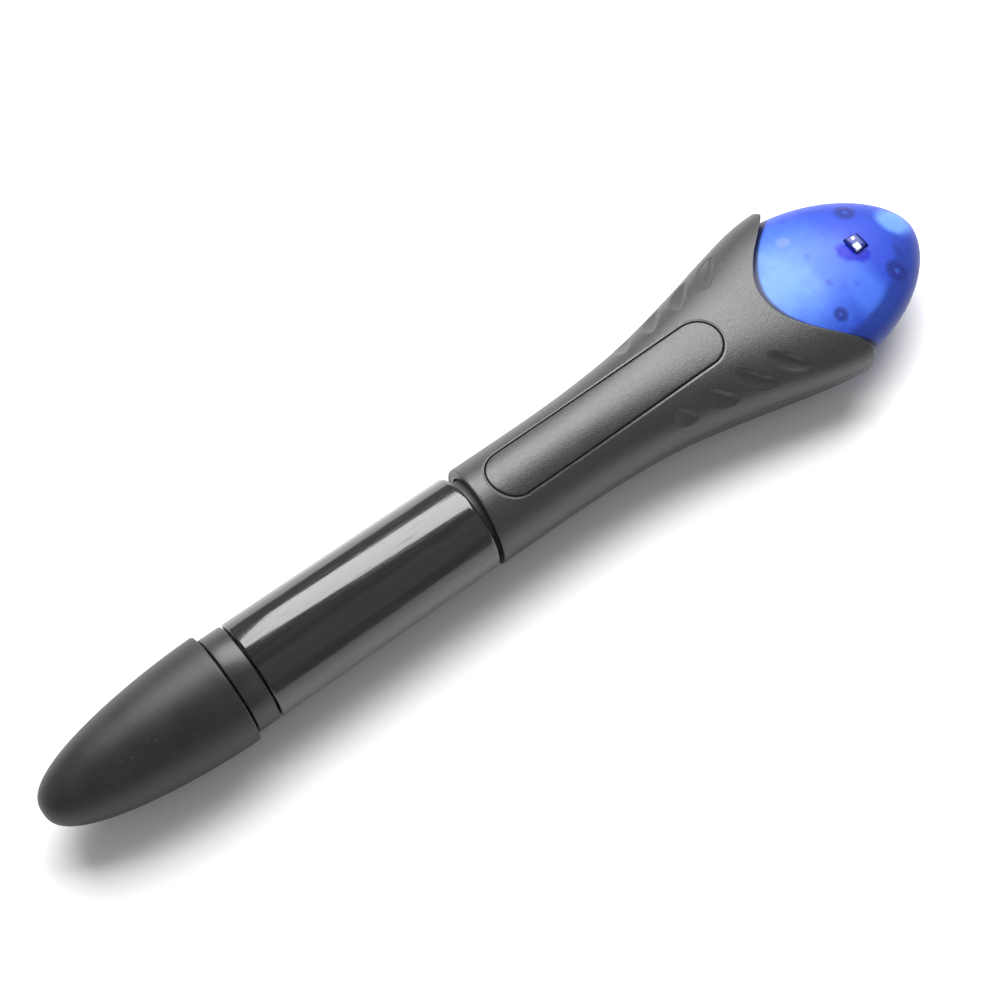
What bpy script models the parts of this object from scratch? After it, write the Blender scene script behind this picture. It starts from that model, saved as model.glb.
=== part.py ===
"""Pen that checks banknotes: a capped marker plugged into a hand lamp with a blue domed head.

The pen lies on its back with the cap towards -X, the lamp towards +X and the push button up.
Every length below is in millimetres: stations run from the tip of the cap along the pen's
axis, and heights and radii start at that axis. The meshes are made in metres.
"""

import math

import bmesh
import bpy
from mathutils import Matrix, Vector

MM = 0.001
GAP = 0.3  # clearance between two pieces that touch or are pressed together
LENGTH = 162.5
AXIS_HEIGHT = 8.85  # of the pen's axis above the surface it lies on

# Cap and marker
CAP_LENGTH = 30.5
CAP_RADIUS = 8.85
CAP_WALL = 1.55
CAP_HOLLOW_START = 5.0
CAP_BLUNTNESS = (1.7, 0.4)  # powers of the bullet outline
NIB_TIP = 15.5
NIB_RADIUS = 1.5
NECK_RADIUS = 6.9
SPIGOT_RADIUS = 6.2
COLLAR = (30.8, 34.5)
COLLAR_RADIUS = 7.9
BARREL = (34.8, 74.0)
BARREL_RADIUS = 8.0
BARREL_BORE = 6.6
PLUG_START = 61.6
PLUG_SHOULDER = 76.5
PLUG_END = 88.0
PLUG_NOSE_RADIUS = 4.7
PLUG_SEAL_STATION = 83.8
SOCKET = (79.6, 88.9)

# Lamp body: outlines of the casing along the pen, as (station, size)
HALF_WIDTH = [
    (74.0, 8.0), (93.0, 8.1), (103.0, 8.65), (109.5, 9.4), (116.0, 10.65),
    (123.0, 12.25), (129.6, 13.95), (136.5, 15.5), (141.0, 16.0), (146.0, 15.9),
]
TOP = [(74.0, 8.0), (112.0, 8.0), (124.0, 7.85), (133.0, 7.4), (146.0, 7.2)]
BOTTOM = [(74.0, 8.0), (100.0, 8.05), (114.0, 8.6), (126.0, 9.3), (146.0, 9.3)]
SQUARENESS = [(90.0, 2.0), (126.0, 2.3)]  # power of the section's superellipse
WALL = [(124.0, 1.4), (131.0, 1.0)]
FLOOR_EXTRA = [(106.0, 0.0), (118.0, 0.4)]  # thicker above the land that the pen rests on
BODY_START = 75.15
END_SLANT = 0.081  # both ends of the casing are cut a little askew
SHELL_SEAM = 0.2
RIB = (128.3, 129.5)
RIB_DEPTH = 1.3
RIM = [  # (distance from the middle, station): a U between two wings
    (0.0, 130.9), (2.5, 131.25), (5.0, 132.5), (8.0, 135.0), (11.0, 138.3), (13.5, 141.0), (15.5, 142.0),
]
GRIP_START = 109.4  # station of the first thumb grip
GRIP_PITCH = 6.2
GRIP_HALF_LENGTHS = (1.9, 2.8, 3.4, 3.7)
GRIP_SLANT = 50  # degrees from the pen's axis

# Button and switch
BUTTON = (77.9, 121.3)
BUTTON_HALF_WIDTH = 4.0
BUTTON_THICKNESS = 1.2
BUTTON_PIVOT = (77.6, 6.0)
SWITCH_STATION = 112.0
STEM_TOP = 6.15

# Lamp head
DOME_START = 126.8
DOME_WIDEST = 139.0
DOME_SIZE = (14.45, 6.5, 7.5)  # half width, height above the axis and depth below it
DOME_WALL = 1.3
DOME_PARTING = -1.5
LED_STATION = 150.0
LED_TOP = 6.6
FRONT_POSTS = (153.8, 6.0, 1.9)  # station, distance from the middle, radius
REAR_POSTS = (141.8, 7.9, 1.6)
FRONT_SEAT = -2.9
REAR_SEAT = -4.2
BODY_SCREWS = (122.6, 7.7)
BODY_SCREW_SEAT = -4.6
DOME_SCREW = (0.7, 4.8, 1.5, 0.9)  # shank radius and length, head radius and height
BODY_SCREW = (1.0, 8.2, 2.0, 1.3)

# Power and electronics
CELL_RADIUS = 3.95
CELL_LENGTH = 3.3
FIRST_CELL = 92.6
CELL_PITCH = 3.5
BOARD = (105.6, 125.5)
BOARD_TOP = 1.3
BOARD_THICKNESS = 1.0
LED_BOARD_TOP = 2.0


def clear_scene():
    for item in list(bpy.data.objects):
        bpy.data.objects.remove(item, do_unlink=True)


def material(name, color, roughness, metallic=0.0, transmission=0.0):
    made = bpy.data.materials.new(name)
    made.use_nodes = True
    shader = made.node_tree.nodes["Principled BSDF"]
    shader.inputs["Base Color"].default_value = (*color, 1.0)
    shader.inputs["Roughness"].default_value = roughness
    shader.inputs["Metallic"].default_value = metallic
    shader.inputs["Transmission Weight"].default_value = transmission
    return made


def joint_empty(name, station, parent=None):
    """An empty at a joint, which its moving pieces hang from; station is in pen millimetres."""
    empty = bpy.data.objects.new(name, None)
    empty.empty_display_size = 0.01
    empty["station"] = station
    base = Vector(parent["station"]) if parent else Vector((LENGTH / 2, 0, -AXIS_HEIGHT))
    empty.location = (Vector(station) - base) * MM
    empty.parent = parent
    bpy.context.collection.objects.link(empty)
    return empty


def add_object(name, bm, parent, paint=None):
    """Turns a bmesh in pen millimetres into an object; one without a paint is a cutter."""
    origin = Vector(parent["station"])
    bmesh.ops.remove_doubles(bm, verts=bm.verts, dist=1e-5)
    bmesh.ops.recalc_face_normals(bm, faces=bm.faces)
    bmesh.ops.transform(bm, matrix=Matrix.Scale(MM, 4) @ Matrix.Translation(-origin), verts=bm.verts)
    mesh = bpy.data.meshes.new(name)
    bm.to_mesh(mesh)
    bm.free()
    item = bpy.data.objects.new(name, mesh)
    item.parent = parent
    bpy.context.collection.objects.link(item)
    if paint:
        mesh.materials.append(paint)
        mesh.shade_smooth()
        mesh.set_sharp_from_angle(angle=math.radians(35))
    else:
        item.hide_render = True
        item.display_type = "WIRE"
    return item


def boolean(item, operation, *tools, solver="EXACT"):
    for tool in tools:
        modifier = item.modifiers.new(tool.name, "BOOLEAN")
        modifier.operation = operation
        modifier.solver = solver
        modifier.object = tool


def along(points, x):
    """Height at x of a smooth curve through the points, level beyond both ends."""
    if x <= points[0][0]:
        return points[0][1]
    if x >= points[-1][0]:
        return points[-1][1]
    last = len(points) - 1
    slopes = []
    for i in range(last + 1):
        before = points[max(i - 1, 0)]
        after = points[min(i + 1, last)]
        slopes.append((after[1] - before[1]) / (after[0] - before[0]) if 0 < i < last else 0.0)
    i = max(k for k in range(last) if points[k][0] <= x)
    span = points[i + 1][0] - points[i][0]
    t = (x - points[i][0]) / span
    rise = points[i + 1][1] - points[i][1]
    bend = (1 - t) ** 2 * t * slopes[i] - t * t * (1 - t) * slopes[i + 1]
    return points[i][1] + rise * smooth(t) + span * bend


def smooth(t):
    t = min(max(t, 0.0), 1.0)
    return t * t * (3 - 2 * t)


def ring(x, half_width, top, bottom, power, count=32):
    """Points round a superellipse across the pen at station x."""
    points = []
    for k in range(count):
        turn = math.tau * (k + 0.5) / count
        across = math.copysign(abs(math.cos(turn)) ** (2 / power), math.cos(turn))
        up = math.copysign(abs(math.sin(turn)) ** (2 / power), math.sin(turn))
        points.append((x, half_width * across, (top if up > 0 else bottom) * up))
    return points


def loft(rings):
    """A closed skin through the rings, with flat ends."""
    bm = bmesh.new()
    loops = [[bm.verts.new(point) for point in points] for points in rings]
    for before, after in zip(loops, loops[1:]):
        for k in range(len(before)):
            n = (k + 1) % len(before)
            bm.faces.new((before[k], before[n], after[n], after[k]))
    bm.faces.new(loops[0])
    bm.faces.new(loops[-1])
    return bm


def turned(profile, axis=(1, 0, 0), steps=32, at=(0, 0)):
    """Spins a closed outline of (distance along the axis, radius) points.

    The axis is X, or a Z line at the given station and distance from the middle.
    """
    bm = bmesh.new()
    upright = axis[2] == 1
    points = [(r, 0, a) if upright else (a, 0, r) for a, r in profile]
    verts = [bm.verts.new(point) for point in points]
    edges = [bm.edges.new((verts[i], verts[(i + 1) % len(verts)])) for i in range(len(verts))]
    on_axis = [e for e in edges if all(abs(v.co.x if upright else v.co.z) < 1e-6 for v in e.verts)]
    for edge in on_axis:
        bm.edges.remove(edge)
    bmesh.ops.spin(
        bm, geom=bm.verts[:] + bm.edges[:], cent=(0, 0, 0), axis=axis, angle=math.tau,
        steps=steps, use_merge=True,
    )
    bmesh.ops.translate(bm, vec=(at[0], at[1], 0), verts=bm.verts)
    return bm


def tube(start, end, outer, inner, steps=32):
    return turned([(start, outer), (end, outer), (end, inner), (start, inner)], steps=steps)


def rod(start, end, radius, steps=32):
    return turned([(start, 0), (start, radius), (end, radius), (end, 0)], steps=steps)


def post(low, high, radius, at, steps=20):
    """An upright cylinder at a station and a distance from the middle."""
    profile = [(low, 0), (low, radius), (high, radius), (high, 0)]
    return turned(profile, axis=(0, 0, 1), steps=steps, at=at)


def stepped_hole(seat, head_radius, shank_radius, at):
    """Cutter for a screw hole with a sunk seat, open downwards."""
    outline = [(-12, 0), (-12, head_radius), (seat, head_radius), (seat, shank_radius)]
    outline += [(3, shank_radius), (3, 0)]
    return turned(outline, axis=(0, 0, 1), steps=16, at=at)


def block(low, high, edge=0.0):
    """A box between two corners, its edges rounded by a bevel."""
    bm = bmesh.new()
    bmesh.ops.create_cube(bm, size=1)
    size = [b - a for a, b in zip(low, high)]
    middle = [(a + b) / 2 for a, b in zip(low, high)]
    bmesh.ops.scale(bm, vec=size, verts=bm.verts)
    bmesh.ops.translate(bm, vec=middle, verts=bm.verts)
    if edge:
        bmesh.ops.bevel(
            bm, geom=bm.edges[:], offset=edge, offset_type="OFFSET", segments=2, profile=0.5,
            affect="EDGES", material=-1,
        )
    return bm


def prism(outline, low, high):
    """An upright extrusion of an outline of (station, across) points."""
    bm = bmesh.new()
    face = bm.faces.new([bm.verts.new((x, y, low)) for x, y in outline])
    grown = bmesh.ops.extrude_face_region(bm, geom=[face])["geom"]
    lifted = [v for v in grown if isinstance(v, bmesh.types.BMVert)]
    bmesh.ops.translate(bm, vec=(0, 0, high - low), verts=lifted)
    return bm


def stadium(grow, steps=10):
    """Outline of the push button, widened by grow."""
    radius = BUTTON_HALF_WIDTH
    outline = []
    for centre, start in ((BUTTON[1] - radius, -90), (BUTTON[0] + radius, 90)):
        for k in range(steps + 1):
            turn = math.radians(start + 180 * k / steps)
            reach = radius + grow
            outline.append((centre + reach * math.cos(turn), reach * math.sin(turn)))
    return outline


# Cap and marker


def cap_outline(x):
    share = 1 - (1 - x / CAP_LENGTH) ** CAP_BLUNTNESS[0]
    return CAP_RADIUS * share ** CAP_BLUNTNESS[1]


def make_cap(parent, paint):
    nose = [0.0, 0.25, 0.8, 1.8, 3.4, 5.8, 9.0, 13.0, 18.0, 24.0, CAP_LENGTH]
    outside = [(x, cap_outline(x)) for x in nose]
    hollow = [(x, cap_outline(x) - CAP_WALL) for x in (CAP_LENGTH, 24.0, 18.0, 13.0, 9.0)]
    hollow += [(CAP_HOLLOW_START + 0.9, 3.0), (CAP_HOLLOW_START, 0.0)]
    return add_object("cap", turned(outside + hollow, steps=36), parent, paint)


def make_inner_cap(parent, paint):
    """Soft cup inside the cap that keeps the nib from drying."""
    cup = [(9.2, 0), (9.2, 4.2), (10.0, 4.9), (20.6, 4.9), (20.6, 5.9), (21.8, 5.9), (21.8, 4.0)]
    cup += [(10.4, 4.0), (10.4, 0)]
    return add_object("inner_cap", turned(cup, steps=24), parent, paint)


def make_nib(parent, paint):
    outline = [(NIB_TIP, 0), (NIB_TIP + 0.1, 0.55), (NIB_TIP + 1.0, 1.15), (NIB_TIP + 2.4, NIB_RADIUS)]
    outline += [(27.3, NIB_RADIUS), (27.3, 0)]
    return add_object("nib", turned(outline, steps=20), parent, paint)


def make_nib_section(parent, paint):
    """Front end of the marker: nose round the nib, neck for the cap, spigot into the barrel."""
    bore = NIB_RADIUS + GAP
    outline = [(19.0, bore), (19.0, 2.6), (21.8, 3.6), (23.4, 3.7), (24.0, NECK_RADIUS - 0.4)]
    outline += [(24.4, NECK_RADIUS), (30.5, NECK_RADIUS), (30.5, SPIGOT_RADIUS), (44.0, SPIGOT_RADIUS)]
    outline += [(44.0, 4.8), (27.1, 4.8), (27.1, bore)]
    return add_object("nib_section", turned(outline), parent, paint)


def make_collar(parent, paint):
    ends = [(COLLAR[0], 6.5), (COLLAR[0], COLLAR_RADIUS - 0.1), (COLLAR[0] + 0.2, COLLAR_RADIUS)]
    ends += [(COLLAR[1] - 0.2, COLLAR_RADIUS), (COLLAR[1], COLLAR_RADIUS - 0.1), (COLLAR[1], 6.5)]
    return add_object("collar_ring", turned(ends, steps=40), parent, paint)


def make_barrel(parent, paint):
    start, end = BARREL
    outline = [(start, BARREL_BORE), (start, BARREL_RADIUS - 0.15), (start + 0.3, BARREL_RADIUS)]
    outline += [(end - 0.4, BARREL_RADIUS - 0.1), (end, BARREL_RADIUS - 0.4), (end, BARREL_BORE)]
    return add_object("barrel", turned(outline, steps=40), parent, paint)


def make_reservoir(parent, paint):
    return add_object("ink_reservoir", rod(27.6, PLUG_START - GAP, 4.5, steps=24), parent, paint)


def make_plug(parent, paint):
    """Closes the barrel's rear end and plugs the marker into the lamp."""
    wide = BARREL_BORE - GAP
    nose = PLUG_NOSE_RADIUS
    groove = PLUG_SEAL_STATION
    outline = [(PLUG_START, 0), (PLUG_START, wide - 0.4), (PLUG_START + 0.4, wide)]
    outline += [(PLUG_SHOULDER, wide), (PLUG_SHOULDER, nose), (groove - 0.8, nose), (groove - 0.8, 3.5)]
    outline += [(groove + 0.8, 3.5), (groove + 0.8, nose), (PLUG_END - 0.6, nose)]
    outline += [(PLUG_END, nose - 0.6), (PLUG_END, 0)]
    return add_object("barrel_plug", turned(outline), parent, paint)


def make_plug_seal(parent, paint):
    circle = [math.tau * k / 8 for k in range(8)]
    profile = [(PLUG_SEAL_STATION + 0.6 * math.cos(a), 4.3 + 0.6 * math.sin(a)) for a in circle]
    return add_object("plug_seal", turned(profile, steps=20), parent, paint)


# Lamp body


def casing_ring(x, inset, floor_extra=0.0):
    half_width = along(HALF_WIDTH, x) - inset
    bottom = along(BOTTOM, x) - inset - floor_extra
    return ring(x, half_width, along(TOP, x) - inset, bottom, along(SQUARENESS, x))


def casing_skin():
    stations = [72, 80, 88, 94, 99, 103.5, 108, 112, 116, 120, 124, 128, 132, 136, 140, 143, 147]
    return loft([casing_ring(x, 0) for x in stations])


def casing_core():
    """The casing thinned to the middle of its wall, which its bosses stop at."""
    return loft([casing_ring(x, along(WALL, x) / 2) for x in (112, 116, 120, 124, 128)])


def casing_hollow():
    """Inside of the casing, with the rib that the lamp head hooks behind."""
    stations = [(x, 0) for x in (70, 88, 96, 103.5, 108, 112, 116, 120, 124, RIB[0])]
    stations += [(RIB[0], RIB_DEPTH), (RIB[1], RIB_DEPTH)]
    stations += [(x, 0) for x in (RIB[1], 133, 137, 141, 145, 152)]
    return loft([casing_ring(x, along(WALL, x) + rib, along(FLOOR_EXTRA, x)) for x, rib in stations])


def rim_station(y):
    """Where the casing ends at a distance y from the middle."""
    return along(RIM, abs(y)) + END_SLANT * y


def rim_cutter():
    steps = 26
    reach = 17.0
    across = [-reach + 2 * reach * k / steps for k in range(steps + 1)]
    outline = [(rim_station(y), y) for y in across] + [(175, reach), (175, -reach)]
    return prism(outline, -12, 12)


def front_cutter():
    bm = block((60, -12, -12), (BODY_START, 12, 12))
    shear = Matrix.Identity(4)
    shear[0][1] = END_SLANT
    bmesh.ops.transform(bm, matrix=shear, verts=bm.verts)
    return bm


def dimple(index, side):
    """Cutter for one of the thumb grips, which grow towards the head."""
    station = GRIP_START + GRIP_PITCH * index
    turn = math.radians(38 + 2 * index)
    power = along(SQUARENESS, station)
    y = side * along(HALF_WIDTH, station) * math.cos(turn) ** (2 / power)
    z = along(TOP, station) * math.sin(turn) ** (2 / power)
    bm = bmesh.new()
    bmesh.ops.create_uvsphere(bm, u_segments=12, v_segments=6, radius=1)
    bmesh.ops.scale(bm, vec=(GRIP_HALF_LENGTHS[index], 1.3, 0.9), verts=bm.verts)
    slant = Matrix.Rotation(side * math.radians(GRIP_SLANT), 4, "Z")
    lean = Matrix.Rotation(-side * (math.pi / 2 - turn), 4, "X")
    place = Matrix.Translation((station, y * 1.03, z * 1.03))
    bmesh.ops.transform(bm, matrix=place @ lean @ slant, verts=bm.verts)
    return bm


def make_casing(parent, paint):
    """Upper and lower shells, hollowed, with bosses, openings and the open rim."""
    hollow = add_object("casing_hollow_cutter", casing_hollow(), parent)
    rim = add_object("rim_cutter", rim_cutter(), parent)
    front = add_object("front_cutter", front_cutter(), parent)
    core = add_object("casing_core", casing_core(), parent)
    half = SHELL_SEAM / 2
    x, y = BODY_SCREWS
    sides = (-1, 1)

    upper = add_object("upper_shell", casing_skin(), parent, paint)
    above = add_object("lower_half_cutter", block((50, -30, -30), (190, 30, half)), parent)
    opening = add_object("button_opening_cutter", prism(stadium(GAP), 3, 12), parent)
    boolean(upper, "DIFFERENCE", hollow)
    for side in sides:
        boss = add_object(f"upper_boss_{side}", post(-1, 8, 2.2, (x, side * y)), parent)
        boolean(boss, "INTERSECT", core)
        boolean(upper, "UNION", boss)
    boolean(upper, "DIFFERENCE", above, rim, front, opening)
    for side in sides:
        pilot = add_object(f"upper_pilot_{side}", post(-2, 4.2, 1.15, (x, side * y), 12), parent)
        boolean(upper, "DIFFERENCE", pilot)
        for index in range(4):
            scoop = add_object(f"grip_cutter_{index}_{side}", dimple(index, side), parent)
            boolean(upper, "DIFFERENCE", scoop)

    lower = add_object("lower_shell", casing_skin(), parent, paint)
    below = add_object("upper_half_cutter", block((50, -30, -half), (190, 30, 30)), parent)
    land = add_object("land_cutter", block((50, -30, -30), (190, 30, -AXIS_HEIGHT)), parent)
    boolean(lower, "DIFFERENCE", hollow)
    for side in sides:
        boss = add_object(f"lower_boss_{side}", post(-9, 1, 2.9, (x, side * y)), parent)
        boolean(boss, "INTERSECT", core)
        boolean(lower, "UNION", boss)
    for number, station in enumerate((108.5, 120.5)):
        rest = block((station, -4, -7.6), (station + 1.2, 4, 1))
        boolean(lower, "UNION", add_object(f"board_rest_{number}", rest, parent))
    boolean(lower, "DIFFERENCE", below, rim, front, land)
    for side in sides:
        hole = stepped_hole(BODY_SCREW_SEAT, 2.3, 1.35, (x, side * y))
        boolean(lower, "DIFFERENCE", add_object(f"screw_hole_{side}", hole, parent))


def make_socket(parent, paint):
    return add_object("socket_sleeve", tube(*SOCKET, BARREL_BORE - GAP, 5.0), parent, paint)


def screw(name, parent, paint, at, seat, sizes):
    """Pan-head screw driven upwards, its head hanging just below the seat."""
    shank, length, head, height = sizes
    top = seat - 0.2
    outline = [(top - height, 0), (top - height, head - 0.35), (top - height + 0.35, head)]
    outline += [(top, head), (top, shank), (top + length - 0.3, shank), (top + length, shank - 0.3)]
    outline += [(top + length, 0)]
    return add_object(name, turned(outline, (0, 0, 1), 14, at), parent, paint)


# Button and switch


def make_button(parent, paint):
    """Long paddle, flush with the casing, that tips about the tongue at its front end."""
    plate = add_object("push_button", prism(stadium(0), 4.6, 10), parent, paint)
    skin = loft([casing_ring(x, 0) for x in (72, 80, 88, 96, 103.5, 108, 112, 116, 120, 124)])
    under = loft([casing_ring(x, BUTTON_THICKNESS) for x in (70, 84, 96, 103.5, 110, 116, 120, 126)])
    envelope = add_object("button_envelope", skin, parent)
    underside = add_object("button_underside_cutter", under, parent)
    boolean(plate, "INTERSECT", envelope)
    boolean(plate, "DIFFERENCE", underside)
    tongue = add_object("button_tongue", block((76.9, -2.0, 5.35), (79.3, 2.0, 6.0)), parent)
    neck = add_object("button_neck", block((78.4, -2.0, 5.35), (79.3, 2.0, 7.2)), parent)
    nub = add_object("button_nub", post(STEM_TOP + GAP, 7.2, 1.8, (SWITCH_STATION, 0), 16), parent)
    boolean(plate, "UNION", tongue, neck, nub)


def make_switch(board, moving, case_paint, stem_paint):
    x = SWITCH_STATION
    case = add_object(
        "switch_body", block((x - 3, -3, BOARD_TOP + GAP), (x + 3, 3, 5.2), 0.2), board, case_paint
    )
    well = add_object("switch_well_cutter", post(3.0, 8, 1.9, (x, 0), 16), board)
    boolean(case, "DIFFERENCE", well)
    stem = [(3.8, 0), (3.8, 1.6), (STEM_TOP - 0.2, 1.6), (STEM_TOP, 1.4), (STEM_TOP, 0)]
    add_object("switch_stem", turned(stem, (0, 0, 1), 16, (x, 0)), moving, stem_paint)


# Power and electronics


def make_cells(parent, paint):
    edge = 0.25
    for number in range(3):
        start = FIRST_CELL + CELL_PITCH * number
        end = start + CELL_LENGTH
        outline = [(start, 0), (start, CELL_RADIUS - edge), (start + edge, CELL_RADIUS)]
        outline += [(end - edge, CELL_RADIUS), (end, CELL_RADIUS - edge), (end, 0)]
        add_object(f"button_cell_{number + 1}", turned(outline, steps=24), parent, paint)


def make_tray(parent, paint):
    """Trough under the cells, closed at both ends."""
    tray = add_object("battery_tray", rod(89.2, 105.0, 6.2), parent, paint)
    trough = add_object("tray_trough_cutter", rod(90.2, 104.0, CELL_RADIUS + GAP), parent)
    top = add_object("tray_top_cutter", block((80, -9, 0), (110, 9, 9)), parent)
    boolean(tray, "DIFFERENCE", trough, top)


def make_battery_spring(parent, paint):
    """Tapered coil that presses the cells together."""
    turns = 2.5
    steps = 36
    wire = 0.25
    curve = bpy.data.curves.new("battery_spring", "CURVE")
    curve.dimensions = "3D"
    curve.bevel_depth = wire * MM
    curve.bevel_resolution = 1
    curve.use_fill_caps = True
    spline = curve.splines.new("POLY")
    spline.points.add(steps)
    for k in range(steps + 1):
        share = k / steps
        turn = math.tau * turns * share
        radius = 2.9 - 1.1 * share
        place = (90.8 + 1.2 * share, radius * math.cos(turn), radius * math.sin(turn))
        spline.points[k].co = (*(Vector(place) * MM), 1)
    curve.materials.append(paint)
    spring = bpy.data.objects.new("battery_spring", curve)
    spring.parent = parent
    bpy.context.collection.objects.link(spring)


def make_contact(parent, paint):
    """Plate behind the last cell, with a tail that runs to the circuit board."""
    plate = add_object("battery_contact", rod(103.2, 103.6, 3.2, 20), parent, paint)
    tail = add_object("contact_tail", block((103.2, -0.9, 2.2), (106.6, 0.9, 2.55)), parent)
    neck = add_object("contact_neck", block((103.2, -0.9, 1.5), (103.6, 0.9, 2.55)), parent)
    boolean(plate, "UNION", neck, tail)


def make_boards(parent, green, white, dark):
    x0, x1 = BOARD
    board = prism([(x0, -4.2), (x1, -4.6), (x1, 4.6), (x0, 4.2)], BOARD_TOP - BOARD_THICKNESS, BOARD_TOP)
    add_object("circuit_board", board, parent, green)
    add_object("resistor", block((117.6, -1.6, 1.5), (118.9, 1.6, 2.2), 0.15), parent, dark)

    ear = REAR_POSTS[0]
    side = [(133.2, 5.4), (ear - 2.6, 6.0), (ear - 2.0, 10.2), (ear + 2.0, 10.2), (ear + 2.8, 8.4)]
    side += [(150.5, 5.6), (152.2, 4.2)]
    outline = [(x, -y) for x, y in side] + [(x, y) for x, y in reversed(side)]
    led_board = add_object("led_board", prism(outline, LED_BOARD_TOP - 1.2, LED_BOARD_TOP), parent, white)
    for side in (-1, 1):
        hole = post(-3, 6, REAR_POSTS[2] + 0.25, (ear, side * REAR_POSTS[1]), 16)
        boolean(led_board, "DIFFERENCE", add_object(f"led_board_hole_{side}", hole, parent))


def make_led(parent, paint):
    """Clear square-bodied ultraviolet lamp standing in the dome's window."""
    x = LED_STATION
    base = LED_BOARD_TOP + 0.2
    body = block((x - 1.6, -1.6, base + 0.5), (x + 1.6, 1.6, LED_TOP), 0.3)
    led = add_object("uv_led", body, parent, paint)
    foot = add_object("led_foot", block((x - 2.1, -2.1, base), (x + 2.1, 2.1, base + 1)), parent)
    boolean(led, "UNION", foot)


def make_wires(parent, paints):
    """Two insulated wires from the circuit board to the lamp's board."""
    radius = 0.4
    for side, (name, paint) in zip((-1, 1), paints.items()):
        route = [(123.4, 1.6, 1.9), (126.0, 1.7, 2.2), (129.0, 1.9, 2.5), (133.0, 2.2, 2.75)]
        route += [(137.0, 2.6, 2.8), (140.5, 2.9, 2.75), (142.9, 2.9, 2.6)]
        curve = bpy.data.curves.new(name, "CURVE")
        curve.dimensions = "3D"
        curve.bevel_depth = radius * MM
        curve.bevel_resolution = 1
        curve.use_fill_caps = True
        spline = curve.splines.new("POLY")
        spline.points.add(len(route) - 1)
        for point, (x, y, z) in zip(spline.points, route):
            point.co = (x * MM, side * y * MM, z * MM, 1)
        curve.materials.append(paint)
        wire = bpy.data.objects.new(name, curve)
        wire.parent = parent
        bpy.context.collection.objects.link(wire)


# Lamp head


def dome_ring(x, inset):
    """Section of the dome: inside the casing it follows the hollow, beyond it an egg."""
    share = max(x - DOME_WIDEST, 0) / (LENGTH - DOME_WIDEST)
    nose = (1 - min(share, 1) ** 1.9) ** 0.58
    clearance = along(WALL, x) + 0.35
    half_width = min(along(HALF_WIDTH, x) - clearance, DOME_SIZE[0] * nose)
    tucked = along(TOP, x) - clearance
    top = (tucked + (DOME_SIZE[1] - tucked) * smooth((x - 131) / 7)) * nose
    bottom = min(along(BOTTOM, x) - clearance - along(FLOOR_EXTRA, x), DOME_SIZE[2] * nose)
    size = [max(value - inset, 0.4) for value in (half_width, top, bottom)]
    return ring(x, *size, 2.0 + 0.1 * (inset > 0))


def dome_skin():
    tail = [(x, 0) for x in (DOME_START, RIB[0] - GAP)]
    tail += [(RIB[0] - GAP, RIB_DEPTH), (RIB[1] + GAP, RIB_DEPTH)]
    seen = (RIB[1] + GAP, 132, 134.5, 137, 139.5, 142, 145, 148, 151, 153.7, 156, 158, 159.7, 161)
    sections = [dome_ring(x, inset) for x, inset in tail]
    sections += [dome_ring(x, 0) for x in seen + (161.9, LENGTH - 0.12)]
    return loft(sections)


def dome_core():
    """The dome thinned by a third of its wall, which its posts stop at."""
    stations = (DOME_START + 4, 134.5, 138, 142, 146, 150, 153, 156, 158.5, 160.5)
    return loft([dome_ring(x, DOME_WALL / 3) for x in stations])


def dome_hollow():
    deep = DOME_WALL + RIB_DEPTH
    stations = [(120, deep), (RIB[1] + GAP + DOME_WALL, deep), (RIB[1] + GAP + DOME_WALL, DOME_WALL)]
    stations += [(x, DOME_WALL) for x in (134.5, 138, 142, 146, 150, 153.5, 156.5, 158.8)]
    stations += [(160.0, DOME_WALL + 0.9)]
    return loft([dome_ring(x, inset) for x, inset in stations])


def dome_post_places():
    for name, (x, y, radius), seat in (
        ("front", FRONT_POSTS, FRONT_SEAT),
        ("rear", REAR_POSTS, REAR_SEAT),
    ):
        for label, side in (("right", -1), ("left", 1)):
            yield f"{name}_{label}", (x, side * y), radius, seat


def make_dome(parent, paint, steel):
    """Blue dome in two halves, screwed together from below."""
    hollow = add_object("dome_hollow_cutter", dome_hollow(), parent)
    core = add_object("dome_core", dome_core(), parent)
    lens = add_object("dome_lens", dome_skin(), parent, paint)
    base = add_object("dome_base", dome_skin(), parent, paint)
    base_top = DOME_PARTING - SHELL_SEAM
    below = add_object("dome_below_cutter", block((100, -30, -30), (190, 30, DOME_PARTING)), parent)
    above = add_object("dome_above_cutter", block((100, -30, base_top), (190, 30, 30)), parent)
    boolean(lens, "DIFFERENCE", hollow, below, solver="MANIFOLD")
    boolean(base, "DIFFERENCE", hollow, above, solver="MANIFOLD")
    pilots = []
    holes = []
    for name, at, radius, seat in dome_post_places():
        upper = add_object(f"lens_post_{name}", post(DOME_PARTING + 0.2, 8, radius, at, 18), parent)
        boolean(upper, "INTERSECT", core, solver="MANIFOLD")
        boolean(lens, "UNION", upper, solver="MANIFOLD")
        lower = add_object(f"base_post_{name}", post(-9, base_top - 0.1, 2.3, at, 18), parent)
        boolean(lower, "INTERSECT", core, solver="MANIFOLD")
        boolean(base, "UNION", lower, solver="MANIFOLD")
        pilots.append(add_object(f"lens_pilot_{name}", post(-5, 2.0, 0.95, at, 12), parent))
        hole = stepped_hole(seat, 1.7, 1.0, at)
        holes.append(add_object(f"base_hole_{name}", hole, parent))
        screw(f"dome_screw_{name}", parent, steel, at, seat, DOME_SCREW)
    window = block((LED_STATION - 2.3, -2.3, 3.3), (LED_STATION + 2.3, 2.3, 12))
    opening = add_object("window_cutter", window, parent)
    boolean(lens, "DIFFERENCE", opening, *pilots, solver="MANIFOLD")
    boolean(base, "DIFFERENCE", *holes, solver="MANIFOLD")


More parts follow.
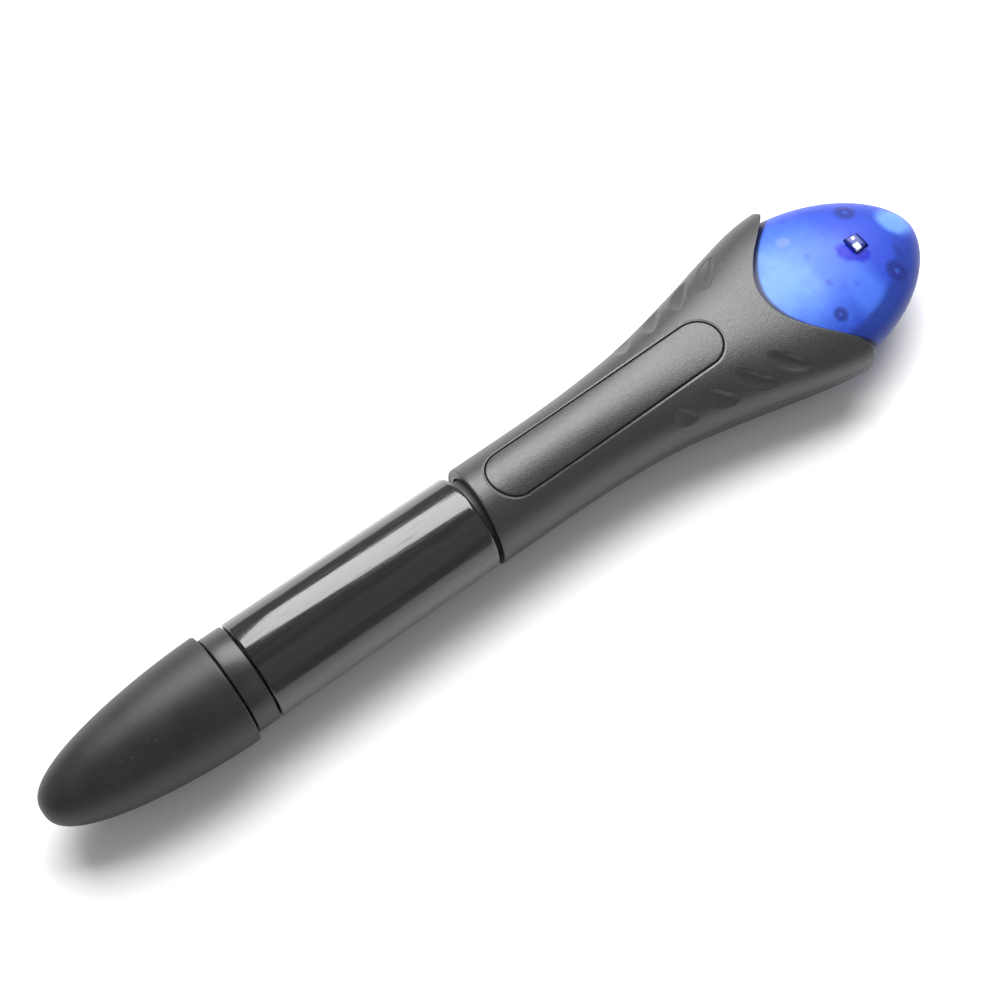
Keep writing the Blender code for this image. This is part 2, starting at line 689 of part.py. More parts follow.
def main():
    clear_scene()
    cap_black = material("cap_black", (0.028, 0.028, 0.03), 0.5)
    gloss_black = material("gloss_black", (0.012, 0.011, 0.011), 0.16)
    satin_black = material("satin_black", (0.03, 0.03, 0.032), 0.38)
    grain_black = material("grain_black", (0.045, 0.045, 0.048), 0.55)
    blue_lens = material("blue_lens", (0.05, 0.16, 0.9), 0.35, transmission=0.6)
    clear = material("clear_epoxy", (0.85, 0.88, 1.0), 0.05, transmission=0.95)
    felt = material("nib_felt", (0.55, 0.42, 0.2), 0.9)
    fibre = material("ink_fibre", (0.75, 0.7, 0.6), 0.95)
    soft = material("soft_seal", (0.7, 0.7, 0.68), 0.6)
    rubber = material("seal_rubber", (0.02, 0.02, 0.02), 0.7)
    grey = material("grey_plastic", (0.2, 0.2, 0.21), 0.5)
    steel = material("steel", (0.6, 0.6, 0.6), 0.3, metallic=1.0)
    cell = material("cell_nickel", (0.72, 0.71, 0.68), 0.25, metallic=1.0)
    brass = material("contact_brass", (0.8, 0.62, 0.3), 0.3, metallic=1.0)
    green = material("board_green", (0.02, 0.2, 0.06), 0.45)
    white = material("board_white", (0.85, 0.87, 0.9), 0.5)
    chip = material("chip_black", (0.02, 0.02, 0.02), 0.4)
    red_wire = material("wire_red", (0.6, 0.03, 0.03), 0.5)
    black_wire = material("wire_black", (0.02, 0.02, 0.02), 0.5)

    pen = joint_empty("pen_axis", (0, 0, 0))
    marker = joint_empty("marker_slide", (PLUG_SHOULDER, 0, 0), pen)
    cap = joint_empty("cap_slide", (CAP_LENGTH, 0, 0), marker)
    pivot = joint_empty("button_pivot", (BUTTON_PIVOT[0], 0, BUTTON_PIVOT[1]), pen)
    stem = joint_empty("stem_slide", (SWITCH_STATION, 0, STEM_TOP), pen)

    make_cap(cap, cap_black)
    make_inner_cap(cap, soft)
    make_nib(marker, felt)
    make_nib_section(marker, satin_black)
    make_collar(marker, satin_black)
    make_barrel(marker, gloss_black)
    make_reservoir(marker, fibre)
    make_plug(marker, grey)
    make_plug_seal(marker, rubber)

    make_casing(pen, grain_black)
    make_socket(pen, grey)
    make_button(pivot, grain_black)
    make_switch(pen, stem, chip, grey)
    make_cells(pen, cell)
    make_tray(pen, grey)
    make_battery_spring(pen, steel)
    make_contact(pen, brass)
    make_boards(pen, green, white, chip)
    make_led(pen, clear)
    make_wires(pen, {"led_wire_black": black_wire, "led_wire_red": red_wire})
    make_dome(pen, blue_lens, steel)
    for label, side in (("right", -1), ("left", 1)):
        at = (BODY_SCREWS[0], side * BODY_SCREWS[1])
        screw(f"body_screw_{label}", pen, steel, at, BODY_SCREW_SEAT, BODY_SCREW)


main()
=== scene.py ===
import math
import bmesh
import bpy
from mathutils import Matrix, Vector


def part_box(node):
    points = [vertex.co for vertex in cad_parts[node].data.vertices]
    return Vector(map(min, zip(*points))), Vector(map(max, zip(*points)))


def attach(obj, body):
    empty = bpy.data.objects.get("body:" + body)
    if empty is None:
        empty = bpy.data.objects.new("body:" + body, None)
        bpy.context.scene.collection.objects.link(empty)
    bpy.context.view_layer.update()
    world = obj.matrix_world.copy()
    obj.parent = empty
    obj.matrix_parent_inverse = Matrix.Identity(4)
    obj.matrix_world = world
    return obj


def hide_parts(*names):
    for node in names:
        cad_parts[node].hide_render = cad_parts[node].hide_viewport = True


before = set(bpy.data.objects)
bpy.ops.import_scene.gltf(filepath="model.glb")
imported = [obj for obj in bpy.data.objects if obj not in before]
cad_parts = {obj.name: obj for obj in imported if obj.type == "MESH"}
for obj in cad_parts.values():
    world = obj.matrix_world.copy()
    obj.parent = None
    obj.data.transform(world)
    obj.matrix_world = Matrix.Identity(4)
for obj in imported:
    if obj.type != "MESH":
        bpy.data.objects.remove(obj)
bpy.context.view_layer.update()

# The pen's own frame, in millimetres: stations run from the cap's tip along the axis,
# and heights and distances from the middle start at the axis.
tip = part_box("cap")[0][0]
axisHeight = (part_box("collar_ring")[0][2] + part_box("collar_ring")[1][2]) / 2
toWorld = Matrix.Translation((tip, 0, axisHeight)) @ Matrix.Scale(0.001, 4)


def span(node):
    # first station, last station and radius of a CAD node
    low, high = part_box(node)
    return (low[0] - tip) * 1000, (high[0] - tip) * 1000, (high[1] - low[1]) * 500


# Shader helpers


class Value:
    # a socket that can be used in sums
    def __init__(self, finish, socket):
        self.finish = finish
        self.socket = socket

    def math(self, operation, *others):
        inputs = dict(enumerate((self, *others)))
        return self.finish.value("ShaderNodeMath", {"operation": operation}, inputs)

    def __add__(self, other):
        return self.math("ADD", other)

    def __sub__(self, other):
        return self.math("SUBTRACT", other)

    def __rsub__(self, other):
        return self.math("MULTIPLY", -1.0).math("ADD", other)

    def __mul__(self, other):
        return self.math("MULTIPLY", other)

    def __truediv__(self, other):
        return self.math("DIVIDE", other)

    def __pow__(self, other):
        return self.math("POWER", other)

    __radd__ = __add__
    __rmul__ = __mul__

    def size(self):
        return self.math("ABSOLUTE")

    def most(self, other):
        return self.math("MAXIMUM", other)

    def fade(self, start, end, low=0.0, high=1.0):
        # smooth step from low at start to high at end
        inputs = {0: self, 1: start, 2: end, 3: low, 4: high}
        return self.finish.value("ShaderNodeMapRange", {"interpolation_type": "SMOOTHSTEP"}, inputs)


class Finish:
    # one material: constants go straight on the shader's sockets
    def __init__(self, name, constants):
        self.material = bpy.data.materials.new(name)
        self.material.use_nodes = True
        self.tree = self.material.node_tree
        self.shader = self.tree.nodes["Principled BSDF"]
        for key, constant in constants.items():
            self.shader.inputs[key].default_value = constant
        self.place = self.add("ShaderNodeMapping", {}, {
            "Vector": self.value("ShaderNodeTexCoord", {}, {}, "Object"),
            "Location": (-tip * 1000, 0, -axisHeight * 1000), "Scale": (1000, 1000, 1000),
        }).outputs[0]  # millimetres in the pen's frame

    def add(self, kind, settings, inputs):
        node = self.tree.nodes.new(kind)
        for key, setting in settings.items():
            setattr(node, key, setting)
        for key, given in inputs.items():
            self.feed(node.inputs[key], given)
        return node

    def feed(self, socket, given):
        if isinstance(given, Value):
            given = given.socket
        if isinstance(given, bpy.types.NodeSocket):
            self.tree.links.new(given, socket)
        else:
            socket.default_value = given

    def value(self, kind, settings, inputs, output=0):
        return Value(self, self.add(kind, settings, inputs).outputs[output])

    def axes(self):
        node = self.add("ShaderNodeSeparateXYZ", {}, {0: self.place})
        return [Value(self, socket) for socket in node.outputs]

    def stretched(self, stretch):
        return self.add("ShaderNodeMapping", {}, {"Vector": self.place, "Scale": stretch}).outputs[0]

    def noise(self, size, detail=3.0, stretch=None, rough=0.5):
        # cloud pattern from 0 to 1 whose lumps are about size millimetres
        place = self.stretched(stretch) if stretch else self.place
        inputs = {"Vector": place, "Scale": 1 / size, "Detail": detail, "Roughness": rough}
        return self.value("ShaderNodeTexNoise", {}, inputs)

    def cells(self, size, stretch=None):
        place = self.stretched(stretch) if stretch else self.place
        return self.value("ShaderNodeTexVoronoi", {}, {"Vector": place, "Scale": 1 / size})

    def near(self, x, y, reach=1.0, stretch=(1, 1)):
        # distance in plan from the point (x, y), over reach
        sides = self.axes()
        across = ((sides[0] - x) * stretch[0]) ** 2.0 + ((sides[1] - y) * stretch[1]) ** 2.0
        return across.math("SQRT") / reach

    def mix(self, factor, first, second):
        # first where factor is 0, second where it is 1
        inputs = {0: factor, 6: first, 7: second}
        return self.value("ShaderNodeMix", {"data_type": "RGBA"}, inputs, 2)

    def bump(self, height):
        # height in millimetres
        inputs = {"Strength": 1.0, "Distance": 0.001, "Height": height}
        self.feed(self.shader.inputs["Normal"], self.value("ShaderNodeBump", {}, inputs))

    def set(self, **given):
        for key, source in given.items():
            name = {"color": "Base Color", "roughness": "Roughness", "metallic": "Metallic",
                    "coat": "Coat Weight"}[key]
            self.feed(self.shader.inputs[name], source)
        return self.material


def rgb(red, green, blue):
    return (red, green, blue, 1.0)


# Mesh helpers, all in millimetres of the pen's frame

mergeReach = 1e-4
sharpTurn = 0.5  # radians between faces, above which a lathe's edge gets rounded


def smooth(t):
    t = min(max(t, 0.0), 1.0)
    return t * t * (3 - 2 * t)


def along(points, x):
    # height at x of a smooth curve through the points, level beyond both ends
    if x <= points[0][0]:
        return points[0][1]
    if x >= points[-1][0]:
        return points[-1][1]
    last = len(points) - 1
    i = max(k for k in range(last) if points[k][0] <= x)
    slopes = []
    for k in (i, i + 1):
        before, after = points[max(k - 1, 0)], points[min(k + 1, last)]
        slopes.append((after[1] - before[1]) / (after[0] - before[0]) if 0 < k < last else 0.0)
    width = points[i + 1][0] - points[i][0]
    t = (x - points[i][0]) / width
    rise = points[i + 1][1] - points[i][1]
    bend = (1 - t) ** 2 * t * slopes[0] - t * t * (1 - t) * slopes[1]
    return points[i][1] + rise * smooth(t) + width * bend


def surface(rows, columns, pointAt):
    # a grid of rows by columns corners, each moved to pointAt(row, column)
    bm = bmesh.new()
    bmesh.ops.create_grid(bm, x_segments=rows - 1, y_segments=columns - 1, size=1)
    for corner in bm.verts:
        row = round((corner.co.x + 1) / 2 * (rows - 1))
        column = round((corner.co.y + 1) / 2 * (columns - 1))
        corner.co = pointAt(row, column)
    return bm


def closeUp(bm):
    # merges doubled corners, fills the open ends and turns all faces outwards
    bmesh.ops.remove_doubles(bm, verts=bm.verts, dist=mergeReach)
    bmesh.ops.dissolve_degenerate(bm, edges=bm.edges, dist=mergeReach / 10)
    edges = [e for e in bm.edges if e.is_boundary]
    if edges:
        bmesh.ops.holes_fill(bm, edges=edges)
    bmesh.ops.recalc_face_normals(bm, faces=bm.faces)


def lathe(outline, steps=96, axis="X", at=(0, 0), edge=0.0):
    # spins a closed outline of (distance along the axis, radius); corners get rounded by edge
    bm = bmesh.new()
    upright = axis == "Z"
    corners = [bm.verts.new((r, 0, a) if upright else (a, 0, r)) for a, r in outline]
    for k, corner in enumerate(corners):
        after = corners[(k + 1) % len(corners)]
        if outline[k][1] > 1e-6 or outline[(k + 1) % len(corners)][1] > 1e-6:
            bm.edges.new((corner, after))
    bmesh.ops.spin(
        bm, geom=bm.verts[:] + bm.edges[:], cent=(0, 0, 0), axis=(0, 0, 1) if upright else (1, 0, 0),
        angle=math.tau, steps=steps, use_merge=True,
    )
    bmesh.ops.remove_doubles(bm, verts=bm.verts, dist=mergeReach)
    bmesh.ops.recalc_face_normals(bm, faces=bm.faces)
    if edge:
        sharp = [e for e in bm.edges if len(e.link_faces) == 2 and e.calc_face_angle() > sharpTurn]
        bmesh.ops.bevel(bm, geom=sharp, offset=edge, offset_type="OFFSET", segments=3,
                        profile=0.5, affect="EDGES", material=-1, clamp_overlap=True)
    bmesh.ops.translate(bm, vec=(at[0], at[1], 0), verts=bm.verts)
    return bm


def block(low, high, edge=0.0, segments=3):
    bm = bmesh.new()
    bmesh.ops.create_cube(bm, size=1)
    bmesh.ops.scale(bm, vec=[b - a for a, b in zip(low, high)], verts=bm.verts)
    bmesh.ops.translate(bm, vec=[(a + b) / 2 for a, b in zip(low, high)], verts=bm.verts)
    if edge:
        bmesh.ops.bevel(bm, geom=bm.edges[:], offset=edge, offset_type="OFFSET", segments=segments,
                        profile=0.5, affect="EDGES", material=-1)
    return bm


def prism(outline, low, high):
    bm = bmesh.new()
    face = bm.faces.new([bm.verts.new((x, y, low)) for x, y in outline])
    grown = bmesh.ops.extrude_face_region(bm, geom=[face])["geom"]
    bmesh.ops.translate(bm, vec=(0, 0, high - low),
                        verts=[v for v in grown if isinstance(v, bmesh.types.BMVert)])
    bmesh.ops.recalc_face_normals(bm, faces=bm.faces)
    return bm


def joined(*parts):
    # several meshes as one
    bm = bmesh.new()
    for part in parts:
        held = bpy.data.meshes.new("held")
        part.to_mesh(held)
        part.free()
        bm.from_mesh(held)
        bpy.data.meshes.remove(held)
    return bm


def cut(bm, *cutters, operation="DIFFERENCE"):
    # bm less the cutters, or only what they share with it, worked in millimetres
    objects = []
    for k, part in enumerate((bm, *cutters)):
        mesh = bpy.data.meshes.new("work")
        part.to_mesh(mesh)
        part.free()
        objects.append(bpy.data.objects.new("work", mesh))
        bpy.context.collection.objects.link(objects[-1])
    for cutter in objects[1:]:
        modifier = objects[0].modifiers.new("cut", "BOOLEAN")
        modifier.operation = operation
        modifier.solver = "EXACT"
        modifier.object = cutter
    shaped = objects[0].evaluated_get(bpy.context.evaluated_depsgraph_get())
    result = bmesh.new()
    result.from_mesh(shaped.to_mesh())
    shaped.to_mesh_clear()
    for item in objects:
        mesh = item.data
        bpy.data.objects.remove(item)
        bpy.data.meshes.remove(mesh)
    return result


def piece(name, bm, material, body, slot, *nodes, angle=35):
    bmesh.ops.transform(bm, matrix=toWorld, verts=bm.verts)
    mesh = bpy.data.meshes.new(name)
    bm.to_mesh(mesh)
    bm.free()
    made = bpy.data.objects.new(name, mesh)
    bpy.context.collection.objects.link(made)
    mesh.materials.append(material)
    mesh.shade_smooth()
    mesh.set_sharp_from_angle(angle=math.radians(angle))
    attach(made, body)
    if nodes:
        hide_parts(*nodes)
    return made


# Finishes

print("finishes")


def roundedSeam(finish, outline, reach=0.35, depth=0.1):
    # height that falls away towards both sides of the button's outline
    sides = finish.axes()
    middle, half, radius = outline
    beyond = ((sides[0] - middle).size() - half).most(0.0)
    distance = (beyond ** 2.0 + sides[1] ** 2.0).math("SQRT") - radius
    return distance.size().fade(0.0, reach, -depth, 0.0)


capLook = {"dark": rgb(0.010, 0.010, 0.011), "light": rgb(0.018, 0.018, 0.019), "roughness": 0.40}


def capPlastic():
    finish = Finish("capPlastic", {"Specular IOR Level": 0.45})
    cloud = finish.noise(6.0, 4.0)
    grain = finish.noise(0.22, 2.0)
    speck = finish.noise(0.7, 2.0).fade(0.66, 0.74)
    color = finish.mix(cloud.fade(0.3, 0.7), capLook["dark"], capLook["light"])
    color = finish.mix(speck * 0.25, color, rgb(0.06, 0.06, 0.06))
    finish.bump(grain * 0.010 + finish.noise(2.5, 2.0) * 0.02)
    return finish.set(color=color, roughness=cloud * 0.12 + speck * 0.15 + capLook["roughness"])


bodyLook = {"dark": rgb(0.009, 0.009, 0.0100), "light": rgb(0.026, 0.026, 0.028), "roughness": 0.27,
            "grain": 0.24}


def bodyPlastic(name, outline):
    finish = Finish(name, {"Specular IOR Level": 0.75})
    grain = finish.noise(bodyLook["grain"], 3.0, rough=0.7)
    cloud = finish.noise(5.0, 3.0)
    pits = finish.cells(0.45).fade(0.05, 0.4)
    color = finish.mix(grain.fade(0.3, 0.7) * 0.7 + cloud * 0.3, bodyLook["dark"], bodyLook["light"])
    height = grain * 0.045 + pits * 0.010 + roundedSeam(finish, outline)
    finish.bump(height)
    rough = grain.fade(0.35, 0.65) * 0.14 + cloud * 0.06 + bodyLook["roughness"]
    return finish.set(color=color, roughness=rough)


barrelLook = {"dark": rgb(0.0045, 0.0042, 0.0042), "light": rgb(0.011, 0.0095, 0.009), "roughness": 0.13}


def barrelPlastic():
    finish = Finish("barrelPlastic", {"Specular IOR Level": 0.40, "Coat Roughness": 0.06})
    streak = finish.noise(1.0, 3.0, (0.10, 1.6, 1.6))
    peel = finish.noise(1.1, 2.0, (0.55, 1.0, 1.0))
    scuff = finish.noise(0.5, 2.0, (0.06, 2.2, 2.2)).fade(0.60, 0.72)
    color = finish.mix(streak.fade(0.35, 0.75), barrelLook["dark"], barrelLook["light"])
    color = finish.mix(scuff * 0.35, color, rgb(0.05, 0.042, 0.038))
    finish.bump(peel * 0.022 + streak * 0.020 + finish.noise(0.3, 2.0) * 0.0015)
    rough = streak * 0.12 + scuff * 0.12 + barrelLook["roughness"]
    return finish.set(color=color, roughness=rough, coat=0.85 - scuff * 0.5)


def plainPlastic(name, dark, light, roughness, grainSize=0.4, grainDepth=0.008):
    finish = Finish(name, {})
    cloud = finish.noise(3.0, 4.0)
    grain = finish.noise(grainSize, 2.0)
    finish.bump(grain * grainDepth)
    rough = cloud * 0.14 + grain * 0.06 + (roughness - 0.1)
    return finish.set(color=finish.mix(cloud.fade(0.25, 0.75), dark, light), roughness=rough)


def turnedMetal(name, dark, light, roughness):
    finish = Finish(name, {"Metallic": 1.0})
    brush = finish.noise(0.12, 3.0, (1.0, 0.25, 0.25))
    tarnish = finish.noise(1.2, 4.0).fade(0.45, 0.8)
    color = finish.mix(tarnish * 0.6 + brush * 0.3, light, dark)
    finish.bump(brush * 0.006)
    return finish.set(color=color, roughness=brush * 0.15 + tarnish * 0.2 + roughness)


def feltFibre(name, dark, light):
    finish = Finish(name, {"Sheen Weight": 0.2})
    fibre = finish.noise(0.25, 4.0, (0.12, 1.0, 1.0), 0.7)
    finish.bump(fibre * 0.05)
    return finish.set(color=finish.mix(fibre.fade(0.3, 0.7), dark, light), roughness=fibre * 0.1 + 0.85)


def boardGreen():
    finish = Finish("boardGreen", {"Specular IOR Level": 0.5})
    tracks = (finish.cells(1.6, (0.35, 1.0, 0.0)) - 0.5).size().fade(0.04, 0.08)
    color = finish.mix(tracks, rgb(0.012, 0.10, 0.035), rgb(0.006, 0.055, 0.02))
    pads = finish.cells(2.4, (1.0, 1.0, 0.0)).fade(0.16, 0.12)
    color = finish.mix(pads, color, rgb(0.55, 0.50, 0.42))
    finish.bump(pads * 0.03 - tracks * 0.02)
    return finish.set(color=color, roughness=pads * -0.1 + 0.42, metallic=pads * 0.8)


def clearEpoxy():
    finish = Finish("clearEpoxy", {"Transmission Weight": 0.6, "IOR": 1.45})
    ripple = finish.noise(0.8, 2.0)
    finish.bump(ripple * 0.02)
    return finish.set(color=finish.mix(ripple, rgb(0.035, 0.06, 0.50), rgb(0.07, 0.11, 0.60)),
                      roughness=ripple * 0.10 + 0.30)


lensLook = {
    # colours: deep is the lens's own blue; bright and pale are painted light coming through the lens, bright
    # also in random flecks; side and shade are painted shade; lit is a painted glow round the lamp; gap is a
    # painted shadow
    "deep": rgb(0.022, 0.056, 0.46),
    "bright": rgb(0.052, 0.145, 0.66),
    "pale": rgb(0.13, 0.30, 0.76),
    "side": rgb(0.012, 0.034, 0.25),
    "shade": rgb(0.010, 0.018, 0.17),
    "lit": rgb(0.0, 0.001, 0.42),
    "pink": rgb(0.17, 0.22, 0.60),
    "mottle": rgb(0.14, 0.33, 0.75),
    "gap": rgb(0.002, 0.003, 0.012),
    # patches: station, distance from the middle, radius, stretch
    # the board, near and pale patches mark painted light, the point patch a painted highlight
    "boardGlowPatch": (138.0, 2.0, 10.5, (1.0, 0.9)),
    "nearGlowPatch": (145.5, -7.0, 5.0, (1.2, 0.7)),
    "paleGlowPatch": (135.5, 1.0, 6.5, (1.0, 0.8)),
    "tipHighlightPatch": (159.0, 0.6, 3.2, (1.0, 0.9)),
    "strokePatch": (155.3, -4.3, 1.0, (2.6, 0.62)),
    "blushPatch": (140.8, 7.0, 1.5),
    "litPatches": [(147.4, -0.5, 1.7, (1.0, 0.85)), (149.2, -2.3, 1.5, (0.8, 1.2))],
    # station, distance from the middle, radius, strength
    "bosses": [(153.3, 6.0, 1.8, 0.85), (152.6, -7.1, 2.0, 0.9), (139.5, -8.3, 1.25, 0.8)],
    "specks": [(141.8, 2.4, 0.6, 0.35), (141.4, -3.3, 0.85, 0.4), (145.0, -5.6, 0.7, 0.2)],
    # the rim as station = start + bend * distance ** power + slant * distance
    "rim": {"start": 130.9, "bend": 0.0705, "power": 1.94, "slant": 0.081},
}


def frostedBlue():
    look = lensLook
    finish = Finish("frostedBlue", {"Specular IOR Level": 0.2, "Coat Weight": 0.08, "Coat Roughness": 0.25,
                                    "Transmission Weight": 0.08, "IOR": 1.49})
    x, y, z = finish.axes()
    cloud = finish.noise(3.2, 4.0, rough=0.6)
    ragged = (cloud - 0.5) * 0.6
    grain = finish.noise(0.5, 3.0)
    fine = (finish.noise(1.0, 4.0, rough=0.7) - 0.5) * 0.9
    # painted light: the lens is painted brighter towards its tail, standing for light that comes back through
    # it off the white board below
    near = (finish.near(*look["nearGlowPatch"]) + ragged).fade(1.2, 0.4) * 0.9
    board = (finish.near(*look["boardGlowPatch"]) + ragged).fade(1.3, 0.5).most(near)
    pale = (finish.near(*look["paleGlowPatch"]) + ragged * 1.5 + fine * 0.5).fade(1.2, 0.2)
    color = finish.mix(board, look["deep"], look["bright"])
    color = finish.mix(pale * 0.8, color, look["pale"])
    # painted shade on the dome's steep sides, heavier on the near side, and a painted highlight on its paler
    # tip
    shadeOnNearSide = y.fade(-1.0, -5.0, 0.3, 1.0)
    side = (z + ragged * 0.8).fade(4.5, 3.8) * shadeOnNearSide * 0.9
    color = finish.mix(side, color, look["side"])
    point = (finish.near(*look["tipHighlightPatch"]) + ragged).fade(1.05, 0.5)
    color = finish.mix(point * 0.85, color, look["pale"])
    # posts and specks seen through the lens, painted as shade, each post's patch with a painted highlight in
    # its middle
    for bossX, bossY, radius, depth in look["bosses"]:
        far = finish.near(bossX, bossY, radius) + ragged * 0.25
        color = finish.mix(far.fade(1.2, 0.65) * depth, color, look["shade"])
        color = finish.mix(far.fade(0.34, 0.12) * 0.35, color, look["bright"])
    for speckX, speckY, radius, depth in look["specks"]:
        far = finish.near(speckX, speckY, radius) + ragged * 0.5
        color = finish.mix(far.fade(1.1, 0.4) * depth, color, look["shade"])
    stroke = (finish.near(*look["strokePatch"]) + ragged * 0.3).fade(1.0, 0.5)
    color = finish.mix(stroke * 0.6, color, look["shade"])
    blush = (finish.near(*look["blushPatch"]) + ragged).fade(1.0, 0.3)
    color = finish.mix(blush * 0.5, color, look["pink"])
    # saturated light round the lamp's foot
    first, second = [(finish.near(*patch) + fine).fade(1.15, 0.6) for patch in look["litPatches"]]
    color = finish.mix(first.most(second) * 0.92, color, look["lit"])
    color = finish.mix((grain - 0.5).size() * 0.6, color, look["bright"])
    mottle = finish.noise(0.8, 3.0, rough=0.7).fade(0.48, 0.7)
    color = finish.mix(mottle * pale * 0.3, color, look["mottle"])
    # shadow in the gap under the casing's rim
    curve = look["rim"]
    rim = y.size() ** curve["power"] * curve["bend"] + y * curve["slant"] + curve["start"]
    color = finish.mix((x - rim).fade(1.5, 0.8) * 0.9, color, look["gap"])
    finish.bump(grain * 0.012 + finish.noise(4.0, 2.0) * 0.05)
    return finish.set(color=color, roughness=grain * 0.12 + cloud * 0.08 + 0.30)


buttonEnd, buttonRadius = span("push_button")[1:]
buttonStart = 77.9  # the CAD node starts earlier, with its tongue
buttonSlit = 0.13
# middle station, half length and radius of the seam that the casing's finish rounds
buttonOutline = ((buttonStart + buttonEnd) / 2, (buttonEnd - buttonStart) / 2 - buttonRadius,
                 buttonRadius + 0.15)

capBlack = capPlastic()
bodyBlack = bodyPlastic("bodyPlastic", buttonOutline)
barrelBlack = barrelPlastic()
trimBlack = plainPlastic("trimPlastic", rgb(0.012, 0.012, 0.013), rgb(0.026, 0.026, 0.027), 0.34, 0.3, 0.006)
greyPlastic = plainPlastic("greyPlastic", rgb(0.035, 0.035, 0.037), rgb(0.06, 0.06, 0.062), 0.45)
sealWhite = plainPlastic("sealWhite", rgb(0.50, 0.50, 0.47), rgb(0.62, 0.62, 0.59), 0.5)
sealRubber = plainPlastic("sealRubber", rgb(0.008, 0.008, 0.008), rgb(0.018, 0.018, 0.018), 0.6)
chipBlack = plainPlastic("chipBlack", rgb(0.010, 0.010, 0.010), rgb(0.020, 0.020, 0.020), 0.4, 0.15)
boardWhite = plainPlastic("boardWhite", rgb(0.68, 0.70, 0.72), rgb(0.80, 0.81, 0.82), 0.4, 0.5, 0.004)
wireRed = plainPlastic("wireRed", rgb(0.35, 0.012, 0.01), rgb(0.48, 0.02, 0.015), 0.42)
wireBlack = plainPlastic("wireBlack", rgb(0.010, 0.010, 0.010), rgb(0.022, 0.022, 0.022), 0.42)
steel = turnedMetal("steel", rgb(0.20, 0.20, 0.20), rgb(0.55, 0.55, 0.56), 0.25)
cellNickel = turnedMetal("cellNickel", rgb(0.38, 0.37, 0.34), rgb(0.72, 0.71, 0.67), 0.22)
brass = turnedMetal("contactBrass", rgb(0.32, 0.2, 0.07), rgb(0.70, 0.52, 0.25), 0.25)
nibFelt = feltFibre("nibFelt", rgb(0.22, 0.14, 0.05), rgb(0.48, 0.34, 0.15))
inkFibre = feltFibre("inkFibre", rgb(0.45, 0.40, 0.30), rgb(0.65, 0.60, 0.50))
lensBlue = frostedBlue()
ledClear = clearEpoxy()

# Cap and marker

print("cap and marker")
capShape = {"radius": span("cap")[2], "length": span("cap")[1], "wall": 1.55, "blunt": (1.7, 0.4)}


def capRadius(x):
    share = 1 - (1 - min(x / capShape["length"], 1)) ** capShape["blunt"][0]
    return capShape["radius"] * share ** capShape["blunt"][1]


def capCover():
    end = capShape["length"]
    outer = [end * (k / 44) ** 2.2 for k in range(44)]
    outline = [(x, capRadius(x)) for x in outer]
    lip = capShape["radius"]
    outline += [(end - 0.5, lip), (end - 0.2, lip - 0.02), (end - 0.05, lip - 0.12), (end, lip - 0.3)]
    outline += [(end, lip - 1.2), (end - 0.3, lip - capShape["wall"])]
    outline += [(x, capRadius(x) - capShape["wall"]) for x in (26, 22, 18, 14, 11, 8.5)]
    outline += [(5.9, 3.0), (5.2, 1.5), (5.0, 0.0)]
    return lathe(outline, 128)


piece("capCover", capCover(), capBlack, "cap", "cap_black", "cap", angle=40)

innerStart, innerEnd, innerRadius = span("inner_cap")
piece("innerCup", lathe([
    (innerStart, 0), (innerStart, 4.9), (20.6, 4.9), (20.6, innerRadius), (innerEnd, innerRadius),
    (innerEnd, 4.0), (10.4, 4.0), (10.4, 0),
], 72, edge=0.25), sealWhite, "cap", "seal_white", "inner_cap")

collarStart, collarEnd, collarRadius = span("collar_ring")
piece("collarBand", lathe([
    (collarStart, 6.5), (collarStart, collarRadius), (collarEnd, collarRadius), (collarEnd, 6.5),
], 128, edge=0.22), trimBlack, "marker", "trim_black", "collar_ring")

barrelStart, barrelEnd, barrelRadius = span("barrel")
piece("barrelTube", lathe([
    (barrelStart, 6.6), (barrelStart, barrelRadius - 0.18), (barrelStart + 0.1, barrelRadius - 0.07),
    (barrelStart + 0.3, barrelRadius),
    (55, barrelRadius - 0.04), (barrelEnd - 0.8, barrelRadius - 0.1), (barrelEnd - 0.35, barrelRadius - 0.16),
    (barrelEnd - 0.1, barrelRadius - 0.32), (barrelEnd, barrelRadius - 0.55), (barrelEnd, 6.6),
], 160), barrelBlack, "marker", "barrel_black", "barrel", angle=50)

nibStart, nibEnd, nibRadius = span("nib")
piece("writingNib", lathe([
    (nibStart, 0), (nibStart + 0.05, 0.4), (nibStart + 0.25, 0.8), (nibStart + 0.7, 1.08),
    (nibStart + 1.5, 1.3), (nibStart + 2.6, nibRadius), (nibEnd, nibRadius), (nibEnd, 0),
], 48), nibFelt, "marker", "nib_felt", "nib")

holderStart, holderEnd, holderRadius = span("nib_section")
piece("nibHolder", lathe([
    (holderStart, 1.8), (holderStart, 2.6), (21.8, 3.6), (23.4, 3.7), (24.1, holderRadius),
    (27.0, holderRadius), (27.0, holderRadius - 0.25), (27.6, holderRadius - 0.25), (27.6, holderRadius),
    (30.5, holderRadius), (30.5, 6.2), (holderEnd, 6.2), (holderEnd, 4.8), (27.1, 4.8), (27.1, 1.8),
], 96, edge=0.2), trimBlack, "marker", "trim_black", "nib_section")

plugStart, plugEnd, plugRadius = span("barrel_plug")
piece("rearPlug", lathe([
    (plugStart, 0), (plugStart, plugRadius), (76.5, plugRadius), (76.5, 4.7), (83.0, 4.7), (83.0, 3.5),
    (84.6, 3.5), (84.6, 4.7), (plugEnd, 4.7), (plugEnd, 0),
], 96, edge=0.3), greyPlastic, "marker", "grey_plastic", "barrel_plug")


def sealRing():
    start, end, radius = span("plug_seal")
    half = (end - start) / 2
    circle = [math.tau * k / 24 for k in range(24)]
    outline = [((start + end) / 2 + half * math.cos(a), radius - half + half * math.sin(a)) for a in circle]
    return lathe(outline, 72)


piece("plugSeal", sealRing(), sealRubber, "marker", "seal_rubber", "plug_seal", angle=60)

# Lamp body

